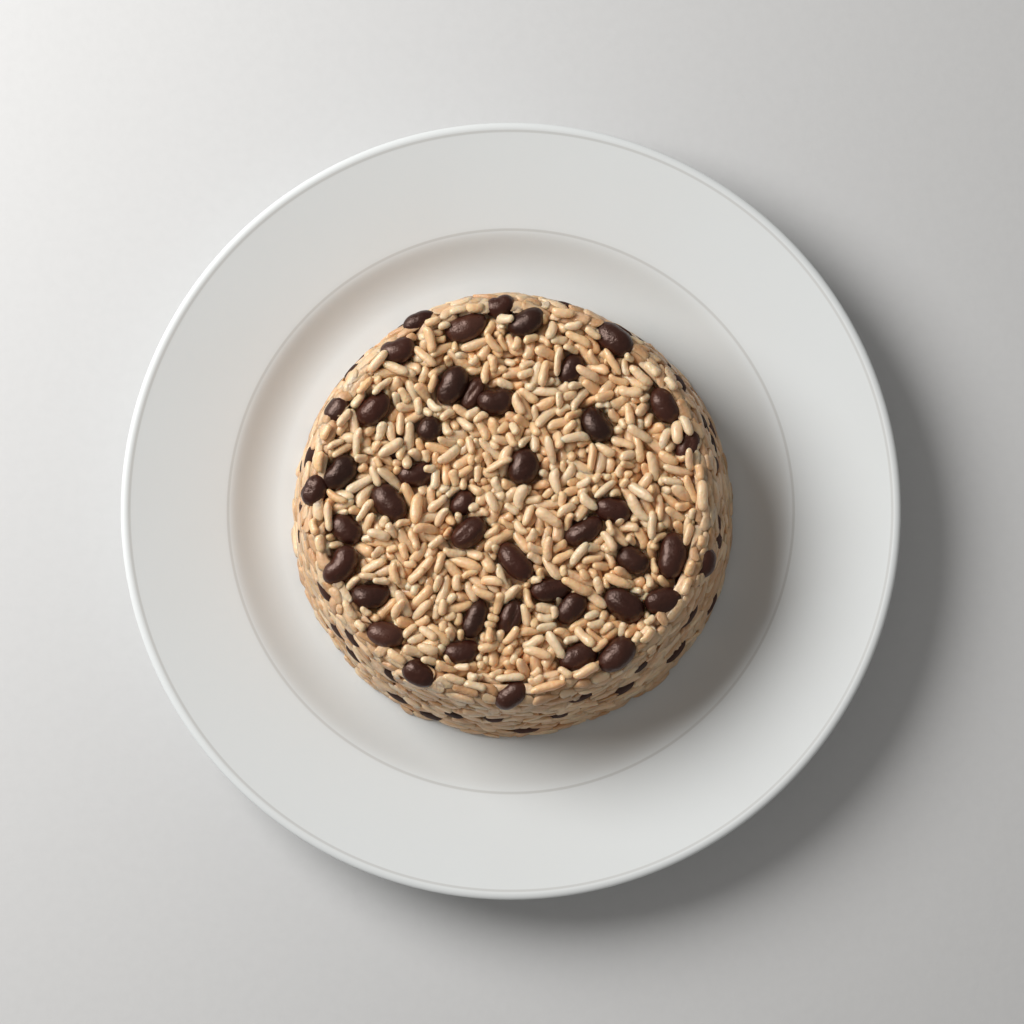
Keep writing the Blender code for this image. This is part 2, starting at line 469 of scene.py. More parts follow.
def grainBodies(rings, sides, draw):
    # unit grains along x: blunt rods, each a little bent, tapered, dented or fluted
    theta = np.pi * (np.arange(rings) + 0.62) / (rings + 0.24)
    x = -np.sign(np.cos(theta)) * np.abs(np.cos(theta)) ** 0.80
    phi = np.arange(sides) * 2 * math.pi / sides
    bodies = []
    for _ in range(grainLook["kinds"]):
        full = draw.uniform(2.8, 5.2)
        radius = np.clip(1 - np.abs(x) ** full, 0, 1) ** draw.uniform(0.42, 0.52)
        radius = radius * (1 - draw.uniform(0, grainLook["taper"]) * x)  # one end is thinner
        thicker, thickerAt = draw.uniform(-0.16, 0.10), draw.uniform(-0.6, 0.6)
        radius = radius * (1 + thicker * np.exp(-((x - thickerAt) / grainLook["swellLength"]) ** 2))
        cross = 1 + grainLook["oval"] * np.cos(2 * phi + draw.uniform(0, wholeTurn))
        cross = cross + grainLook["threeSided"] * np.cos(3 * phi + draw.uniform(0, wholeTurn))
        dent = np.zeros((rings, sides))
        for _ in range(draw.integers(0, 3)):
            dentAt = draw.choice([-0.8, 0.8, draw.uniform(-0.5, 0.5)])
            facing = np.clip(np.cos(phi - draw.uniform(0, wholeTurn)), 0, 1) ** 1.5
            depth = draw.uniform(0.1, 1) * grainLook["dent"]
            dent += depth * np.exp(-((x[:, None] - dentAt) / grainLook["dentLength"]) ** 2) * facing
        uneven = 1 + draw.normal(0, grainLook["unevenness"], (rings, sides))
        reach = radius[:, None] * (cross - dent) * uneven
        bend = draw.choice([-1, 1]) * draw.random() ** 1.4 * grainLook["bend"]
        lift = draw.uniform(-0.4, 0.4) * grainLook["bend"]
        ripple = draw.uniform(-0.10, 0.10)
        y = reach * np.cos(phi) + (bend * (x**2 - 0.35) + ripple * np.sin(x * 4))[:, None]
        z = reach * np.sin(phi) + (lift * (x**2 - 0.35))[:, None]
        body = np.stack([np.repeat(x[:, None], sides, axis=1), y, z], axis=2).reshape(-1, 3)
        wave = ripple * math.sin(4)
        tips = np.array([[-1.0, bend * 0.65 - wave, lift * 0.65], [1.0, bend * 0.65 + wave, lift * 0.65]])
        bodies.append(np.concatenate([tips[:1], body, tips[1:]]))
    return np.array(bodies)


def laidAlong(local, axes):
    # points given along, across and up through a body, turned to lie along its axes
    return sum(local[..., part, None] * axis for part, axis in enumerate(axes))


def grainMesh(grains, rings, sides, draw, reach, girth, thickness=0.95):
    # every grain's points in bed coordinates, its faces, and its looks: tint, brown stain and painted shade
    # by depth, place along it
    bodies = grainBodies(rings, sides, draw)
    count = len(grains)
    kind = draw.integers(0, len(bodies), count)
    flip = draw.choice([-1.0, 1.0], count)
    unit = bodies[kind]
    half = np.stack([
        grains[:, 5] / 2 * reach * flip * draw.uniform(0.92, 1.06, count),
        grains[:, 6] / 2 * girth * draw.uniform(0.84, 1.12, count),
        grains[:, 6] / 2 * thickness * draw.uniform(0.94, 1.06, count),
    ], axis=1)
    half[:, 2] *= flip  # keeps the faces pointing outwards
    local = unit * half[:, None, :]
    turn = grains[:, 3] + draw.uniform(-0.09, 0.09, count)
    axes = axesOf(turn, grains[:, 4], draw.uniform(-0.6, 0.6, count))
    points = laidAlong(local, [axis[:, None] for axis in axes]) + grains[:, None, 0:3]
    each = unit.shape[1]
    faces = repeatNet(ovalNet(rings, sides), count, each)
    looks = np.ones((count, each, 4))
    looks[..., 0] = draw.random(count)[:, None]
    stainedAndShaded = (-grains[:, 7] - grainLook["stainAndShadeFrom"]) / grainLook["stainAndShadeOver"]
    looks[..., 1] = np.clip(stainedAndShaded, 0, 1)[:, None]
    looks[..., 2] = unit[..., 0] * 0.5 + 0.5
    return points, faces, looks.reshape(-1, 4)


# read on a millimetre grid and listed:
# x, y, turn in degrees, length, width, rise over the rice, form
topBeans = [
    (-3.0, 64.0, 15, 10.5, 8.0, -0.6, "plain"), (-14.0, 57.2, 20, 15.0, 9.4, 0.0, "brown"),
    (-29.0, 59.0, 25, 12.0, 7.6, -0.8, "plain"), (-36.0, 49.6, 20, 12.5, 9.0, 0.2, "kidney"),
    (-18.4, 38.2, 62, 14.5, 9.6, 0.4, "plain"), (-11.8, 35.8, 62, 12.0, 6.8, -0.2, "split"),
    (-4.4, 33.2, 5, 13.0, 9.4, 0.2, "kidney"), (-43.6, 30.6, 45, 13.5, 9.4, 0.3, "seam"),
    (-55.4, 30.6, 55, 11.0, 8.0, -1.0, "plain"), (-25.6, 24.2, 60, 9.2, 8.6, 0.2, "plain"),
    (-36.4, 18.2, 60, 9.0, 7.0, -2.6, "plain"), (-30.0, 9.8, 10, 13.0, 8.6, -1.4, "kidney"),
    (-54.4, 10.0, 48, 14.0, 9.8, 0.2, "plain"), (-62.4, 4.4, 68, 11.5, 8.6, -0.3, "wrinkled"),
    (-38.6, 0.4, -50, 15.0, 9.8, 0.2, "plain"), (-15.0, 0.4, 50, 10.0, 7.8, -0.8, "plain"),
    (-13.0, -9.4, 38, 13.5, 9.0, 0.3, "wrinkled"), (5.4, 58.8, 30, 13.5, 9.4, 0.4, "plain"),
    (33.6, 53.4, -40, 15.0, 9.6, 0.2, "plain"), (19.8, 43.6, 62, 11.5, 8.0, -0.2, "plain"),
    (28.2, 25.6, -57, 13.5, 9.8, 0.2, "kidney"), (50.0, 31.8, -62, 13.5, 9.4, 0.3, "plain"),
    (57.4, 19.0, 72, 12.5, 8.0, -0.6, "split"), (4.6, 12.0, 72, 13.0, 10.4, 0.6, "seam"),
    (33.2, -2.0, -15, 13.0, 9.0, 0.0, "plain"), (-52.4, -7.8, -45, 12.5, 9.4, -0.8, "plain"),
    (-54.0, -19.8, 52, 15.0, 9.8, 0.3, "kidney"), (-44.2, -29.2, 8, 13.5, 9.2, 0.2, "kidney"),
    (-39.6, -41.6, -10, 13.5, 9.2, 0.2, "brown"), (-28.8, -54.0, -30, 12.5, 9.0, 0.1, "wrinkled"),
    (-11.0, -36.8, 68, 14.0, 7.6, -0.3, "plain"), (-15.4, -47.2, 8, 12.5, 8.4, -0.1, "kidney"),
    (0.4, -61.0, 35, 12.5, 8.4, -0.2, "plain"), (2.0, -18.6, -50, 15.5, 9.4, 0.2, "plain"),
    (23.8, -8.6, 30, 14.5, 8.2, -0.1, "wrinkled"), (39.6, -18.0, -30, 12.0, 9.0, -0.7, "plain"),
    (52.0, -16.6, 82, 16.4, 9.6, 0.4, "seam"), (49.4, -31.0, 14, 13.5, 9.2, 0.1, "plain"),
    (36.6, -32.4, -33, 15.0, 10.0, 0.2, "wrinkled"), (13.4, -27.4, 10, 14.5, 8.4, -0.7, "wrinkled"),
    (19.8, -33.4, 50, 12.5, 8.8, 0.0, "seam"), (0.4, -36.2, 66, 13.0, 8.2, -1.2, "broken"),
    (22.2, -48.8, 28, 14.5, 9.4, -0.6, "plain"), (34.2, -48.2, 42, 15.0, 9.8, 0.3, "plain"),
    (62.4, -18.6, 76, 11.0, 8.0, -0.8, "plain"), (57.6, -24.0, 30, 10.0, 8.0, -2.6, "plain"),
]
topBeanSpread = 1.011  # the grid was drawn a little large
topBeanShift = (-0.4, -1.5)  # and off the plate's axis

# degrees round the wall, share of its height, turn, length, width
wallBeans = [
    (-140.5, 0.74, -15, 13.0, 8.0), (-137.0, 0.36, 10, 11.0, 8.0), (-124.5, 0.70, -20, 12.0, 8.0),
    (-122.0, 0.22, 5, 12.5, 8.5), (-154.5, 0.82, 0, 11.0, 7.0), (-144.5, 0.42, 30, 9.0, 7.0),
    (-179.0, 0.66, 60, 12.0, 8.0), (-172.5, 0.46, -30, 13.0, 9.0), (145.0, 0.50, 10, 13.0, 9.0),
    (163.0, 0.55, -20, 12.0, 8.0), (168.0, 0.25, 40, 10.0, 8.0), (57.5, 0.84, -5, 12.5, 8.0),
    (43.0, 0.60, 20, 9.0, 7.0), (22.5, 0.66, 50, 11.0, 8.0), (17.0, 0.50, -30, 11.0, 8.0),
    (10.5, 0.70, 80, 9.0, 7.0), (-6.0, 0.72, 60, 8.0, 7.0), (-10.0, 0.62, 75, 12.0, 8.5),
    (-32.5, 0.62, 0, 13.0, 8.0), (-41.0, 0.28, 5, 13.0, 9.0), (-58.5, 0.40, 10, 11.0, 8.0),
    (-69.0, 0.70, 5, 13.5, 8.0), (-77.0, 0.42, -20, 10.0, 8.0), (-94.5, 0.50, 20, 9.0, 7.0),
    (-106.5, 0.40, 0, 11.0, 8.0), (-86.0, 0.16, 0, 11.0, 8.0), (-112.0, 0.14, 15, 11.0, 8.0),
    (-25.0, 0.18, -20, 12.0, 8.5), (-52.0, 0.72, 30, 9.0, 7.0),
]

beanLook = {
    "size": 0.95,
    "rings": 19,
    "sides": 26,
    "thickness": 0.84,  # of the width
    "bow": 0.10,
    "notch": 0.13,
    "lumps": 0.010,
    "wrinkle": 0.055,
}


def beanBody(form, draw):
    # a unit bean along x: plump, a little kidney shaped, with what its form adds
    rings, sides = beanLook["rings"], beanLook["sides"]
    theta = np.pi * (np.arange(rings) + 0.62) / (rings + 0.24)
    x = -np.cos(theta)[:, None]
    phi = (np.arange(sides) * 2 * math.pi / sides)[None, :]
    radius = np.sqrt(np.clip(1 - np.abs(x) ** 2.35, 0, 1)) * (1 - draw.uniform(-0.09, 0.09) * x)
    bow = beanLook["bow"] * (1.5 if form == "kidney" else draw.uniform(0.3, 1.0))
    notch = beanLook["notch"] * (1.5 if form == "kidney" else draw.uniform(0.1, 0.7))
    facing = np.clip(np.cos(phi), 0, 1)
    radius = radius * (1 - notch * np.exp(-(x / 0.26) ** 2) * facing**2)
    lumps = 0.0
    for _ in range(5):
        lump = np.sin(x * draw.uniform(2, 7) + draw.uniform(0, wholeTurn))
        lumps = lumps + lump * np.cos(phi * draw.integers(1, 4) + draw.uniform(0, wholeTurn))
    radius = radius * (1 + beanLook["lumps"] * lumps)
    seam = np.zeros((rings, sides))
    if form == "wrinkled":
        folds = 0.0
        for _ in range(6):
            pace = draw.uniform(0.4, 1.8)
            folds = folds + np.sin(phi * draw.integers(4, 9) + x * pace + draw.uniform(0, wholeTurn))
        radius = radius * (1 + beanLook["wrinkle"] * folds / 2.2 * (1 - x**2))
    if form in ("split", "seam", "broken"):
        line = math.pi / 2 + 0.22 * np.sin(x * 2.2 + draw.uniform(0, wholeTurn)) + draw.uniform(-0.35, 0.35)
        reach = 0.13 if form == "seam" else 0.24
        near = np.exp(-(((phi - line + math.pi) % (2 * math.pi) - math.pi) / reach) ** 2)
        span = np.clip(1.3 - np.abs(x - draw.uniform(-0.2, 0.2)) * (2.2 if form == "seam" else 1.35), 0, 1)
        deep = {"seam": 0.10, "split": 0.26, "broken": 0.40}[form]
        radius = radius * (1 - deep * near * span)
        seam = np.clip(near * span, 0, 1)
    y = radius * np.cos(phi) + bow * (x**2 - 0.4)
    z = radius * np.sin(phi) * np.ones_like(x)
    body = np.stack([np.repeat(x, sides, axis=1), y, z], axis=2).reshape(-1, 3)
    tip = bow * 0.6
    points = np.concatenate([[[-1, tip, 0]], body, [[1, tip, 0]]])
    return points, np.concatenate([[0.0], seam.reshape(-1), [0.0]])


def placeBean(bean, draw):
    unit, seam = beanBody(bean["form"], draw)
    half = np.array([bean["length"] / 2, bean["width"] / 2, bean["width"] / 2 * beanLook["thickness"]])
    axes = axesOf(bean["turn"], bean["pitch"], bean["roll"])
    points = laidAlong(unit * half, axes) + bean["middle"]
    looks = np.ones((len(points), 4))
    looks[:, 0] = draw.random()
    looks[:, 1] = {"brown": 1.0, "split": 0.45, "broken": 0.6}.get(bean["form"], draw.uniform(0, 0.35))
    looks[:, 2] = seam
    return points, looks


def joinBeans(placed):
    net = ovalNet(beanLook["rings"], beanLook["sides"])
    points = np.concatenate([points for points, _ in placed])
    looks = np.concatenate([looks for _, looks in placed])
    return points, repeatNet(net, len(placed), len(placed[0][0])), looks


side = {
    "cell": 0.45,
    "margin": 6.0,
    "core": -3.4,  # how deep the grains start under the wall's face
    "most": 1750,
    "limit": 0.7,  # the wall is full when a grain would rest this far out of it
    "lineUp": 0.8,  # they tend to lie along the wall
    "cap": -0.85,
    "net": (7, 9),  # rings and sides of a grain
    "give": 0.12,  # how far a pressed face may dome out
    "beanReach": 44.0,  # a bean's share of the height is a share of this
    "beanGive": 0.4,
    "spareBeans": 26,  # round the back
    "apart": 13.5,  # between their middles
    "tilt": 0.09,
}


def pressed(points, limits, give):
    # flattens what stands out of the mould's wall
    over = np.maximum(points[..., 2] - limits, 0)
    domed = limits + give * (1 - np.exp(-over / (give * 2.2)))
    points[..., 2] = np.where(over > 0, domed, points[..., 2])
    return points


def layWall():
    draw = np.random.default_rng(17)
    long = 2 * math.pi * wallRadius
    wide = curveLength[-1] + 2 * side["margin"]
    bed = Bed(long, wide, side["cell"], wraps=True)
    bed.cell = long / bed.shape[0]
    up = (np.arange(bed.shape[1]) + 0.5) * bed.cell - side["margin"]
    bed.level[:] = np.where((up > -0.2) & (up < curveLength[-1] + 1.0), side["core"], -30.0)[None, :]
    bed.level[:, up < -0.2] = 60.0  # the plate stops them there

    beans = []
    for degrees, share, turn, length, width in wallBeans:
        across = math.radians(degrees) * wallRadius % long
        beans.append([across, share * side["beanReach"], math.radians(turn), length, width])
    tries = 0
    while len(beans) < len(wallBeans) + side["spareBeans"] and tries < 4000:
        tries += 1
        across = math.radians(draw.uniform(20, 175)) * wallRadius
        height, turn = draw.uniform(6, 37), draw.uniform(-1.2, 1.2)
        new = [across, height, turn, draw.uniform(10, 14), draw.uniform(7.5, 9.5)]
        if all(math.hypot(across - old[0], (height - old[1]) * 1.1) > side["apart"] for old in beans):
            beans.append(new)
    placed = []
    for across, height, turn, length, width in beans:
        half = (length / 2, width / 2, width / 2 * beanLook["thickness"])
        deep = -half[2] + draw.uniform(0.0, 0.8)
        pitch = draw.uniform(-0.12, 0.12)
        stamp = stampOf(half, turn, pitch, bed.cell)
        height = max(height, width / 2 + 0.6)
        i, j = bed.indexOf(across, height + side["margin"])
        bed.raiseTo(i, j, deep, stamp)
        bean = {
            "middle": np.array([across, height, deep]), "turn": turn, "pitch": pitch,
            "roll": draw.uniform(-0.8, 0.8), "length": length, "width": width,
            "form": draw.choice(["plain", "kidney", "wrinkled"]),
        }
        points, looks = placeBean(bean, draw)
        looks[:, 3] = 0.0  # pressed beans are dull
        points = pressed(points, draw.uniform(-0.1, 0.15), side["beanGive"])
        placed.append((onWall(points), looks))

    def sample(source, count):
        low, high = side["margin"] + 1.0, wide - side["margin"] - 0.5
        return source.uniform(0, long, count), source.uniform(low, high, count)

    stamps = stampSet(bed.cell, swollen=1.06)
    grains = layGrains(
        bed, stamps, draw, side["most"], side["limit"], sample, slack=0.5, lineUp=side["lineUp"],
        cap=side["cap"])
    grains[:, 1] -= side["margin"]
    points, faces, looks = grainMesh(grains, *side["net"], draw, reach=1.12, girth=1.5, thickness=1.0)
    count = len(grains)
    foot = np.clip(1 - grains[:, 1] / 5.0, 0, 1) ** 2
    limits = draw.uniform(-0.60, 0.16, count) + foot * draw.uniform(-0.2, 0.9, count)
    away = points[..., :2] - grains[:, None, :2]
    tilt = draw.normal(0, side["tilt"], (count, 2))
    # each grain's face is pressed at its own small angle
    limits = limits[:, None] + (away * tilt[:, None]).sum(axis=2)
    points = pressed(points, limits, side["give"])
    points[..., 1] = np.maximum(points[..., 1], -0.25)
    print("side grains:", count, " beans:", len(placed))
    return onWall(points).reshape(-1, 3), faces, looks, placed


top = {
    "cell": 0.42,
    "room": 152.0,
    "core": -6.6,  # how deep the grains start under the top face; each layer ends at its limit
    "deepMost": 900,
    "deepLimit": -3.1,
    "underMost": 800,
    "underLimit": -1.45,
    "most": 700,
    "limit": -0.45,
    "steep": 60,
    "astray": 110,  # grains that lie anyhow over the others
    "astrayLimit": 0.7,
    "onEdge": 50,  # and over the pressed shoulder
    "onEdgeLimit": 1.2,
    "roundEdge": 1.6,  # how strongly those lie round the edge
    "beanSink": 1.6,
    "underNet": (7, 8),  # rings and sides of a grain
    "upperNet": (10, 12),
    "mouth": 61.5,  # loose grains lie inside this radius
}


def layTop():
    draw = np.random.default_rng(23)
    room = top["room"]
    bed = Bed(room, room, top["cell"], wraps=False)
    middle = (np.arange(bed.shape[0]) + 0.5) * bed.cell - room / 2
    x, y = np.meshgrid(middle, middle, indexing="ij")
    level = topLevel(x, y) + mound["floor"]
    reach = np.hypot(x - topMiddle[0], y - topMiddle[1])
    bed.goal = level
    edge = mound["topRadius"] - mound["shoulder"] - mound["overTop"] + 0.6
    bed.level = np.where(reach > edge + 0.5, level - 0.5, level + top["core"])

    placed = []
    for across, along, turn, length, width, rise, form in topBeans:
        length, width = length * beanLook["size"], width * beanLook["size"]
        across = across * topBeanSpread + topBeanShift[0]
        along = along * topBeanSpread + topBeanShift[1]
        i, j = bed.indexOf(across + room / 2, along + room / 2)
        half = (length / 2, width / 2, width / 2 * beanLook["thickness"])
        far = math.hypot(across - topMiddle[0], along - topMiddle[1])
        slope = np.clip((far - 58) / 10, 0, 1) * 0.5
        turnR = math.radians(turn)
        outward = math.atan2(along - topMiddle[1], across - topMiddle[0])
        pitch = draw.uniform(-0.14, 0.14) - slope * math.cos(turnR - outward)
        roll = draw.uniform(-0.5, 0.5)
        height = bed.goal[i, j] + rise - top["beanSink"] - draw.uniform(0, 0.7)
        stamp = stampOf(half, turnR, pitch, bed.cell)
        bed.raiseTo(i, j, height, stamp)
        if form in ("split", "seam", "broken"):
            roll = draw.uniform(-0.25, 0.25)
        bean = {
            "middle": np.array([across, along, height]), "turn": turnR, "pitch": pitch, "roll": roll,
            "length": length, "width": width, "form": form,
        }
        placed.append(placeBean(bean, draw))

    def ring(source, count, inner, outer):
        radius = np.sqrt(source.uniform(inner**2, outer**2, count))
        angle = source.uniform(0, 2 * math.pi, count)
        long = radius * np.cos(angle) + topMiddle[0] + room / 2
        wide = radius * np.sin(angle) + topMiddle[1] + room / 2
        return long, wide

    def sample(source, count):
        return ring(source, count, 0.0, top["mouth"])

    def sampleEdge(source, count):
        return ring(source, count, top["mouth"] - 3.5, top["mouth"] + 2.4)

    def roundTheEdge(long, wide):
        return math.atan2(wide - room / 2 - topMiddle[1], long - room / 2 - topMiddle[0]) + math.pi / 2

    stamps = stampSet(bed.cell)
    deep = layGrains(bed, stamps, draw, top["deepMost"], top["deepLimit"], sample, slack=0.3)
    under = layGrains(bed, stamps, draw, top["underMost"], top["underLimit"], sample, slack=0.6)
    under = np.concatenate([deep, under])
    steep = []
    for _ in range(top["steep"]):  # grains that stand on end between the others
        long, wide = sample(draw, 40)
        i, j = bed.indexOf(long, wide)
        spot = int((bed.level[i, j] - bed.goal[i, j]).argmin())
        length, width, _ = grainSizes[draw.integers(1, 5)]
        pitch = draw.choice([-1, 1]) * draw.uniform(0.75, 1.35)
        turn = draw.uniform(0, math.pi)
        half = (length / 2, width / 2, width / 2 * 0.94)
        stamp = stampOf(half, turn, pitch, bed.cell)
        height = bed.goal[i[spot], j[spot]] + draw.uniform(-0.9, 0.2) - stamp["top"].max()
        bed.raiseTo(i[spot], j[spot], height, stamp)
        steep.append((long[spot], wide[spot], height, turn, pitch, length, width, -1.0))
    upper = layGrains(bed, stamps, draw, top["most"], top["limit"], sample, slack=1.2)
    astray = layGrains(
        bed, stamps, draw, top["astray"], top["astrayLimit"], sample, slack=2.0, tries=2, places=5)
    onEdge = layGrains(
        bed, stamps, draw, top["onEdge"], top["onEdgeLimit"], sampleEdge, slack=0.7,
        lineUp=top["roundEdge"], lineOf=roundTheEdge, tries=3, places=9)
    print("upper", len(upper), "astray", len(astray), "on the edge", len(onEdge))
    upper = np.concatenate([upper, np.array(steep), astray, onEdge])
    for grains in (under, upper):
        grains[:, 0] -= room / 2
        grains[:, 1] -= room / 2
    print("top grains:", len(under), "under,", len(upper), "on top, beans:", len(placed))
    underMesh = grainMesh(under, *top["underNet"], draw, reach=1.14, girth=1.22)
    upperMesh = grainMesh(upper, *top["upperNet"], draw, reach=1.07, girth=1.0)
    return underMesh, upperMesh, placed


core = {"inset": 2.2, "relief": 0.55, "reliefSize": 2.4, "steps": 288}


def coreBody():
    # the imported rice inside, with grain-like relief, seen only in the gaps
    rings = []
    radii = np.linspace(0, mound["topRadius"] - mound["shoulder"] - 1.0, 44)[1:]
    angles = np.arange(core["steps"]) * 2 * math.pi / core["steps"]
    for radius in radii:
        x = radius * np.cos(angles) + topMiddle[0]
        y = radius * np.sin(angles) + topMiddle[1]
        z = topLevel(x, y) + mound["floor"] + top["core"] + 1.6
        z = z + core["relief"] * swell(x, y, core["reliefSize"], 31, 9)
        rings.append(np.stack([x, y, z], axis=1))
    for up in np.linspace(43.0, 1.2, 34):
        height, out = np.full_like(angles, up), np.full_like(angles, -core["inset"])
        places = np.stack([angles * wallRadius, height, out], axis=1)
        places[:, 2] += core["relief"] * swell(places[:, 0], places[:, 1], core["reliefSize"], 32, 9)
        rings.append(onWall(places))
    low = mound["floor"] + 0.15
    foot = rings[-1].copy()
    foot[:, 2] = low
    rings.append(foot)
    middle = np.array([*mound["middle"], 0.0])
    rings.append((foot - middle) * [0.5, 0.5, 1.0] + middle)
    capMiddle = np.array([[topMiddle[0], topMiddle[1], rings[0][:, 2].mean()]])
    lowMiddle = np.array([[mound["middle"][0], mound["middle"][1], low]])
    return np.concatenate([*rings, capMiddle, lowMiddle]), ringFaces(len(rings), len(angles))


plate = {
    "radius": plateHigh[0] / mm,
    "bead": 1.55,
    "beadHeight": 25.05,
    "groove": 126.95,
    "rimInner": 94.9,
    "rimInnerHeight": 15.9,
    "rimOuterHeight": 25.6,
    "well": 78.5,
    "wellHeight": 9.6,
    "body": 4.2,
    "footOuter": 76.0,
    "footInner": 70.0,
    "recess": 4.2,
    "steps": 240,
}


def arcPoints(x, z, radius, start, end, count, squash=1.0):
    turns = np.radians(np.linspace(start, end, count))
    return [(x + radius * math.cos(turn), z + radius * squash * math.sin(turn)) for turn in turns]


def plateProfile():
    p = plate
    edge = p["radius"] - p["bead"]
    inner, innerHeight = p["rimInner"], p["rimInnerHeight"]
    points = [(0.0, p["wellHeight"])]
    points += [(radius, p["wellHeight"]) for radius in np.linspace(6, p["well"] - 0.5, 12)]
    points.append((p["well"], p["wellHeight"]))
    for share in np.linspace(0.04, 1, 26):  # the wall of the well, steepest near its top
        rise = 1.204 * share**2 - 0.204 * share**8
        radius = p["well"] + (inner - p["well"]) * share
        points.append((radius, p["wellHeight"] + (innerHeight - p["wellHeight"]) * rise))
    start, end = (inner, innerHeight), (p["groove"], p["rimOuterHeight"])
    for share in np.linspace(0.04, 1, 26):  # the broad rim, a little steeper towards its edge
        radius = start[0] + (end[0] - start[0]) * share
        points.append((radius, start[1] + (end[1] - start[1]) * (0.93 * share + 0.07 * share**2.2)))
    points += arcPoints(edge, p["beadHeight"], p["bead"], 122, -75, 24, squash=0.62)
    outerUnder, innerUnder = p["rimOuterHeight"] - p["body"], innerHeight - p["body"]
    points += [(edge - 2.0, p["beadHeight"] - p["bead"] - 0.6), (edge - 5.0, outerUnder - 0.4)]
    points += [(inner + 6.0, innerUnder + 1.1), (inner + 2.5, innerUnder)]
    points += [(p["well"] + 10.5, 9.0), (p["well"] + 5.5, 6.4), (p["well"] + 1.5, 5.0)]
    points += [(p["footOuter"] + 1.6, 3.9), (p["footOuter"] + 0.6, 2.6), (p["footOuter"] + 0.1, 0.9)]
    points += arcPoints(p["footOuter"] - 0.8, 0.8, 0.8, 0, -90, 5)
    points += arcPoints(p["footInner"] + 0.8, 0.8, 0.8, -90, -180, 5)
    points += [(p["footInner"] - 0.3, 3.2), (p["footInner"] - 1.2, p["recess"])]
    points.append((p["footInner"] - 4, p["recess"] + 0.1))
    points += [(40.0, p["recess"]), (12.0, p["recess"]), (0.0, p["recess"])]
    return points


def position(finish):
    return finish.add("ShaderNodeTexCoord", {}, {}, out=3)


riceLooks = {
    "looseRice": {
        "pale": (0.815, 0.635, 0.430), "tan": (0.86, 0.555, 0.305), "stainAndShade": (0.74, 0.345, 0.13),
        "wet": 0.40, "soft": 0.6,
    },
    "pressedRice": {
        "pale": (0.87, 0.605, 0.385), "tan": (0.56, 0.31, 0.150), "stainAndShade": (0.30, 0.12, 0.040),
        "wet": 0.12, "soft": 0.45,
    },
}


def riceFinish(name):
    f = Finish(name)
    rice = riceLooks[name]
    pale, tan = rice["pale"], rice["tan"]
    tint, deep, along, _ = f.look()
    place = position(f)
    cloud = f.noise(place, 150.0, 3.0, 0.55)
    pearl = f.noise(place, 420.0, 2.0, 0.5)
    fine = f.noise(place, 1100.0, 3.0, 0.6)
    share = (tint * 1.1 - 0.05 + (cloud - 0.5) * 1.1 + (pearl - 0.5) * 0.8).clamped()
    colour = f.blend(share, pale, tan)
    sauce = f.ramp(f.noise(place, 60.0, 3.0, 0.6), 0.52, 0.76)
    # grains that lie deep and the sauce blotches turn brown: painted shade in the gaps, and a real brown
    # stain where the sauce lies
    colour = f.blend((sauce * 0.30 + deep * 0.50).clamped(), colour, rice["stainAndShade"])
    ends = f.ramp(along.distanceFrom(0.5), 0.40, 0.5)
    colour = f.blend(ends * 0.12, colour, pale)
    colour = f.blend(f.ramp(fine, 0.58, 0.76) * 0.25, colour, tan)
    waves = f.bump(pearl, 0.45, 0.0008)
    f.set(
        colour=colour, roughness=0.27 + fine * 0.24, coat=rice["wet"], coatRoughness=0.09, specular=0.45,
        soft=rice["soft"], softRadius=(1.0, 0.62, 0.36), softScale=0.0026,
        normal=f.bump(fine, 0.55, 0.0005, under=waves),
    )
    return f


beanColours = {
    "black": (0.004, 0.0007, 0.0004),
    "dark": (0.050, 0.0120, 0.0070),
    "brown": (0.075, 0.027, 0.0175),
    "inside": (0.30, 0.19, 0.12),
    "shine": (1.0, 0.74, 0.64, 1.0),
}


def beanFinish(name):
    f = Finish(name)
    tint, brown, seam, shiny = f.look()
    dull = 1.0 - shiny
    place = position(f)
    cloud = f.noise(place, 190.0, 4.0, 0.6)
    skin = f.noise(place, 700.0, 5.0, 0.65)
    share = (tint * 0.6 + cloud * 0.5 - 0.1).clamped()
    colour = f.blend(share, beanColours["black"], beanColours["dark"])
    colour = f.blend(brown * (0.35 + cloud * 0.7), colour, beanColours["brown"])
    opened = f.ramp(seam, 0.86, 1.0) * f.ramp(cloud, 0.42, 0.6)
    colour = f.blend(opened * 0.55, colour, beanColours["inside"])
    wrinkles = f.bump(cloud, 0.6, 0.0011)
    f.set(
        colour=colour, roughness=0.20 + skin * 0.22 + dull * 0.5, specular=0.66,
        sheen=beanColours["shine"],
        normal=f.bump(skin, 0.45, 0.0004, under=wrinkles),
    )
    return f


glazeLook = {
    # the well's glaze is darker and cooler than the rim's: painted shade that takes back the warm light the
    # rice throws into the well
    "well": (0.672, 0.698, 0.700),
    "rim": (0.755, 0.785, 0.792),
    "cloud": (0.68, 0.68, 0.66),
    "line": (0.36, 0.34, 0.31),
    "creaseShadeLines": [  # painted crease shade, dark rings at the rim's inner edge and inside the bead: radius, half width, strength
        (plate["rimInner"] + 0.3, 0.65, 0.34), (plate["groove"] + 0.1, 0.60, 0.32),
    ],
}


